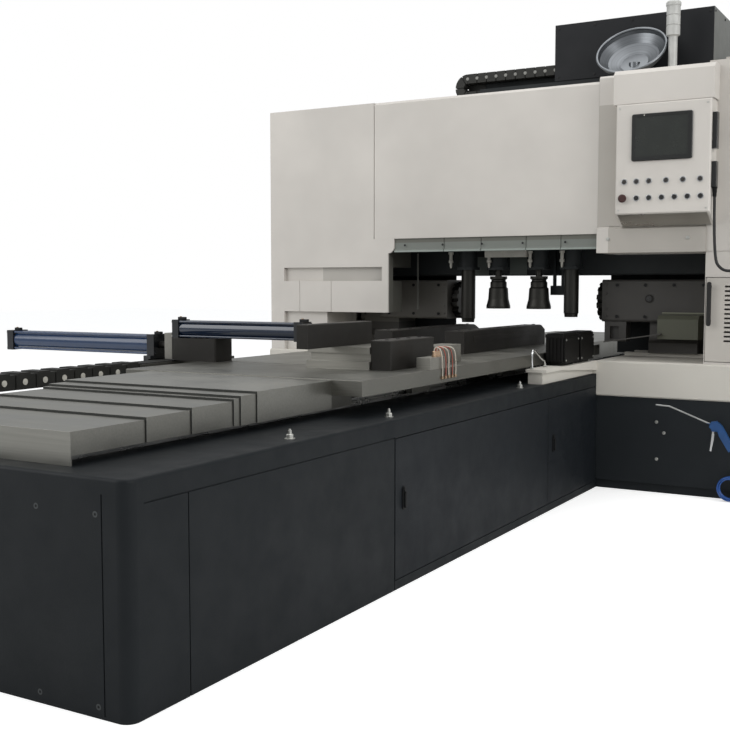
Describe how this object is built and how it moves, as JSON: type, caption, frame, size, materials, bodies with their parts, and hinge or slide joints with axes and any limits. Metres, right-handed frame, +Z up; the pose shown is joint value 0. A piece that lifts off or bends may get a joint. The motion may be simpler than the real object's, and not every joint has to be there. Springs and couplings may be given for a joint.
{
  "type": "plate sawing and milling machine",
  "caption": "Bed-type machine whose travelling table carries clamped plates through a portal with side milling heads and a cross-cut saw, with a console on the portal's tower.",
  "frame": {"origin": "on the floor under the bed's centre line, in the plane of the two milling spindles", "axes": "+Z up, +Y along the bed from the loading end through the portal, +X to the console side"},
  "size_m": [3.123, 5.8, 2.46],
  "materials": {
    "bed_paint": "dark charcoal textured paint",
    "panel_paint": "warm pale grey textured paint",
    "base_paint": "dark charcoal paint with a pale upper band",
    "beam_paint": "dark grey paint",
    "hood_paint": "near-black satin paint",
    "head_paint": "mid grey paint",
    "cover_steel": "bare sheet steel",
    "table_iron": "ground cast iron",
    "rail_steel": "ground steel",
    "jaw_steel": "blackened steel",
    "tool_steel": "dark tool steel",
    "blade_steel": "ground steel",
    "blue_barrel": "blue enamel",
    "motor_black": "black paint",
    "chain_plastic": "matt black plastic",
    "screen_glass": "dark glossy panel",
    "lamp_plastic": "coloured lamp lenses",
    "button_plastic": "coloured plastic",
    "stop_plastic": "red plastic",
    "fitting_black": "black plastic and chrome rings",
    "signal_plastic": "pale and coloured lenses",
    "funnel_steel": "bright sheet steel",
    "gun_plastic": "blue plastic",
    "hose_plastic": "blue polyurethane tube",
    "cable_rubber": "black cable sheath",
    "box_black": "dark plastic"
  },
  "bodies": {
    "machine": {"bed_casing": "bed_paint", "guide_rails": "rail_steel", "feed_motor": "motor_black", "end_covers": "cover_steel", "portal_base": "base_paint", "left_column": "panel_paint", "right_column": "panel_paint", "beam_casing": "panel_paint", "beam_frame": "beam_paint", "console_tower": "panel_paint", "console_box": "panel_paint", "screen": "screen_glass", "pilot_lamps": "lamp_plastic", "console_fittings": "fitting_black", "signal_tower": "signal_plastic", "extraction_funnel": "funnel_steel", "air_gun": "gun_plastic", "air_hose": "hose_plastic", "hose_coil": "hose_plastic", "console_cable": "cable_rubber", "junction_boxes": "box_black"},
    "feed_screw": {"feed_screw": "rail_steel"},
    "table": {"table": "table_iron", "table_covers": "cover_steel", "fixed_jaw_near": "jaw_steel", "fixed_jaw_far": "jaw_steel", "positioning_cylinder": "blue_barrel"},
    "clamp_unit": {"clamp_bracket": "jaw_steel", "clamp_cylinder": "blue_barrel"},
    "moving_jaw_near": {"moving_jaw_near": "jaw_steel"},
    "moving_jaw_far": {"moving_jaw_far": "jaw_steel"},
    "bed_chain": {"bed_chain": "chain_plastic"},
    "saw_carriage": {"saw_carriage": "hood_paint"},
    "saw_head": {"saw_head": "head_paint"},
    "saw_blade": {"saw_blade": "blade_steel"},
    "beam_chain": {"beam_chain": "chain_plastic"},
    "left_head": {"left_head": "head_paint"},
    "right_head": {"right_head": "head_paint"},
    "left_cutter": {"left_cutter": "tool_steel"},
    "right_cutter": {"right_cutter": "tool_steel"},
    "gun_trigger": {"gun_trigger": "gun_plastic"},
    "e_stop": {"e_stop": "stop_plastic"},
    "service_door": {"service_door": "panel_paint"},
    "bed_door_near": {"bed_door_near": "bed_paint"},
    "bed_door_far": {"bed_door_far": "bed_paint"},
    "rear_cover_2": {"rear_cover_2": "cover_steel"},
    "front_cover_2": {"front_cover_2": "cover_steel"},
    "front_cover_3": {"front_cover_3": "cover_steel"},
    "front_cover_4": {"front_cover_4": "cover_steel"},
    "front_cover_5": {"front_cover_5": "cover_steel"},
    "press_foot_1": {"press_foot_1": "tool_steel"},
    "press_foot_2": {"press_foot_2": "tool_steel"},
    "press_foot_3": {"press_foot_3": "tool_steel"},
    "press_foot_4": {"press_foot_4": "tool_steel"},
    "push_button_1": {"push_button_1": "button_plastic"},
    "push_button_2": {"push_button_2": "button_plastic"},
    "push_button_3": {"push_button_3": "button_plastic"},
    "push_button_4": {"push_button_4": "button_plastic"},
    "push_button_5": {"push_button_5": "button_plastic"},
    "push_button_6": {"push_button_6": "button_plastic"}
  },
  "joints": [
    {"name": "table_travel", "type": "slide", "parent": "machine", "child": "table", "axis": [0, 1, 0], "range_m": [0, 1.1]},
    {"name": "screw_turn", "type": "hinge", "parent": "machine", "child": "feed_screw", "pos_m": [0, -1.05, 0.52], "axis": [0, 1, 0], "continuous": true},
    {"name": "front_cover_2_slide", "type": "slide", "parent": "machine", "child": "front_cover_2", "axis": [0, 1, 0], "range_m": [0, 0.0982]},
    {"name": "front_cover_3_slide", "type": "slide", "parent": "machine", "child": "front_cover_3", "axis": [0, 1, 0], "range_m": [0, 0.2824]},
    {"name": "front_cover_4_slide", "type": "slide", "parent": "machine", "child": "front_cover_4", "axis": [0, 1, 0], "range_m": [0, 0.4616]},
    {"name": "front_cover_5_slide", "type": "slide", "parent": "machine", "child": "front_cover_5", "axis": [0, 1, 0], "range_m": [0, 0.80581]},
    {"name": "rear_cover_2_slide", "type": "slide", "parent": "machine", "child": "rear_cover_2", "axis": [0, 1, 0], "range_m": [0, 0.55]},
    {"name": "bed_chain_slide", "type": "slide", "parent": "machine", "child": "bed_chain", "axis": [0, 1, 0], "range_m": [0, 0.55]},
    {"name": "clamp_travel", "type": "slide", "parent": "table", "child": "clamp_unit", "axis": [1, 0, 0], "range_m": [0, 0.06]},
    {"name": "clamp_stroke", "type": "slide", "parent": "clamp_unit", "child": "moving_jaw_near", "axis": [1, 0, 0], "range_m": [0, 0.06]},
    {"name": "far_jaw_travel", "type": "slide", "parent": "table", "child": "moving_jaw_far", "axis": [1, 0, 0], "range_m": [0, 0.25]},
    {"name": "saw_travel", "type": "slide", "parent": "machine", "child": "saw_carriage", "axis": [1, 0, 0], "range_m": [-1.5, 0]},
    {"name": "saw_lift", "type": "slide", "parent": "saw_carriage", "child": "saw_head", "axis": [0, 0, 1], "range_m": [-0.41, 0]},
    {"name": "saw_spin", "type": "hinge", "parent": "saw_head", "child": "saw_blade", "pos_m": [0.713, 0.348, 1.4], "axis": [0, 1, 0], "continuous": true},
    {"name": "beam_chain_slide", "type": "slide", "parent": "machine", "child": "beam_chain", "axis": [1, 0, 0], "range_m": [-0.75, 0]},
    {"name": "left_head_travel", "type": "slide", "parent": "machine", "child": "left_head", "axis": [1, 0, 0], "range_m": [-0.05, 0.2]},
    {"name": "right_head_travel", "type": "slide", "parent": "machine", "child": "right_head", "axis": [1, 0, 0], "range_m": [-0.2, 0.02]},
    {"name": "left_cutter_spin", "type": "hinge", "parent": "left_head", "child": "left_cutter", "pos_m": [-0.369, 0, 0.955], "axis": [1, 0, 0], "continuous": true},
    {"name": "right_cutter_spin", "type": "hinge", "parent": "right_head", "child": "right_cutter", "pos_m": [0.52, 0, 0.955], "axis": [1, 0, 0], "continuous": true},
    {"name": "press_foot_1_stroke", "type": "slide", "parent": "machine", "child": "press_foot_1", "axis": [0, 0, 1], "range_m": [0, 0.08]},
    {"name": "press_foot_2_stroke", "type": "slide", "parent": "machine", "child": "press_foot_2", "axis": [0, 0, 1], "range_m": [-0.08, 0]},
    {"name": "press_foot_3_stroke", "type": "slide", "parent": "machine", "child": "press_foot_3", "axis": [0, 0, 1], "range_m": [-0.08, 0]},
    {"name": "press_foot_4_stroke", "type": "slide", "parent": "machine", "child": "press_foot_4", "axis": [0, 0, 1], "range_m": [-0.038, 0.042]},
    {"name": "bed_door_near_hinge", "type": "hinge", "parent": "machine", "child": "bed_door_near", "pos_m": [0.64, -1.274, 0.28], "axis": [0, 0, 1], "range_deg": [0, 110]},
    {"name": "bed_door_far_hinge", "type": "hinge", "parent": "machine", "child": "bed_door_far", "pos_m": [0.64, -0.59, 0.28], "axis": [0, 0, 1], "range_deg": [0, 80]},
    {"name": "service_door_hinge", "type": "hinge", "parent": "machine", "child": "service_door", "pos_m": [1.365, -0.536, 0.877], "axis": [0, 0, 1], "range_deg": [0, 110]},
    {"name": "push_button_1_press", "type": "slide", "parent": "machine", "child": "push_button_1", "axis": [0, 1, 0], "range_m": [0, 0.004], "stiffness_N_per_m": 400, "springref_m": -0.002},
    {"name": "push_button_2_press", "type": "slide", "parent": "machine", "child": "push_button_2", "axis": [0, 1, 0], "range_m": [0, 0.004], "stiffness_N_per_m": 400, "springref_m": -0.002},
    {"name": "push_button_3_press", "type": "slide", "parent": "machine", "child": "push_button_3", "axis": [0, 1, 0], "range_m": [0, 0.004], "stiffness_N_per_m": 400, "springref_m": -0.002},
    {"name": "push_button_4_press", "type": "slide", "parent": "machine", "child": "push_button_4", "axis": [0, 1, 0], "range_m": [0, 0.004], "stiffness_N_per_m": 400, "springref_m": -0.002},
    {"name": "push_button_5_press", "type": "slide", "parent": "machine", "child": "push_button_5", "axis": [0, 1, 0], "range_m": [0, 0.004], "stiffness_N_per_m": 400, "springref_m": -0.002},
    {"name": "push_button_6_press", "type": "slide", "parent": "machine", "child": "push_button_6", "axis": [0, 1, 0], "range_m": [0, 0.004], "stiffness_N_per_m": 400, "springref_m": -0.002},
    {"name": "e_stop_press", "type": "slide", "parent": "machine", "child": "e_stop", "axis": [0, 1, 0], "range_m": [0, 0.004], "stiffness_N_per_m": 800, "springref_m": -0.002},
    {"name": "trigger_pull", "type": "hinge", "parent": "machine", "child": "gun_trigger", "pos_m": [1.256, -0.62, 0.35], "axis": [0, -1, 0], "range_deg": [0, 10], "stiffness_Nm_per_rad": 0.5, "springref_deg": -5.73}
  ],
  "couplings": [
    {"joint": "screw_turn", "follows": "table_travel", "rad_per_m": 314.16},
    {"joint": "front_cover_2_slide", "follows": "table_travel", "ratio": 0.08927},
    {"joint": "front_cover_3_slide", "follows": "table_travel", "ratio": 0.25673},
    {"joint": "front_cover_4_slide", "follows": "table_travel", "ratio": 0.41964},
    {"joint": "front_cover_5_slide", "follows": "table_travel", "ratio": 0.73255},
    {"joint": "rear_cover_2_slide", "follows": "table_travel", "ratio": 0.5},
    {"joint": "bed_chain_slide", "follows": "table_travel", "ratio": 0.5},
    {"joint": "beam_chain_slide", "follows": "saw_travel", "ratio": 0.5}
  ]
}
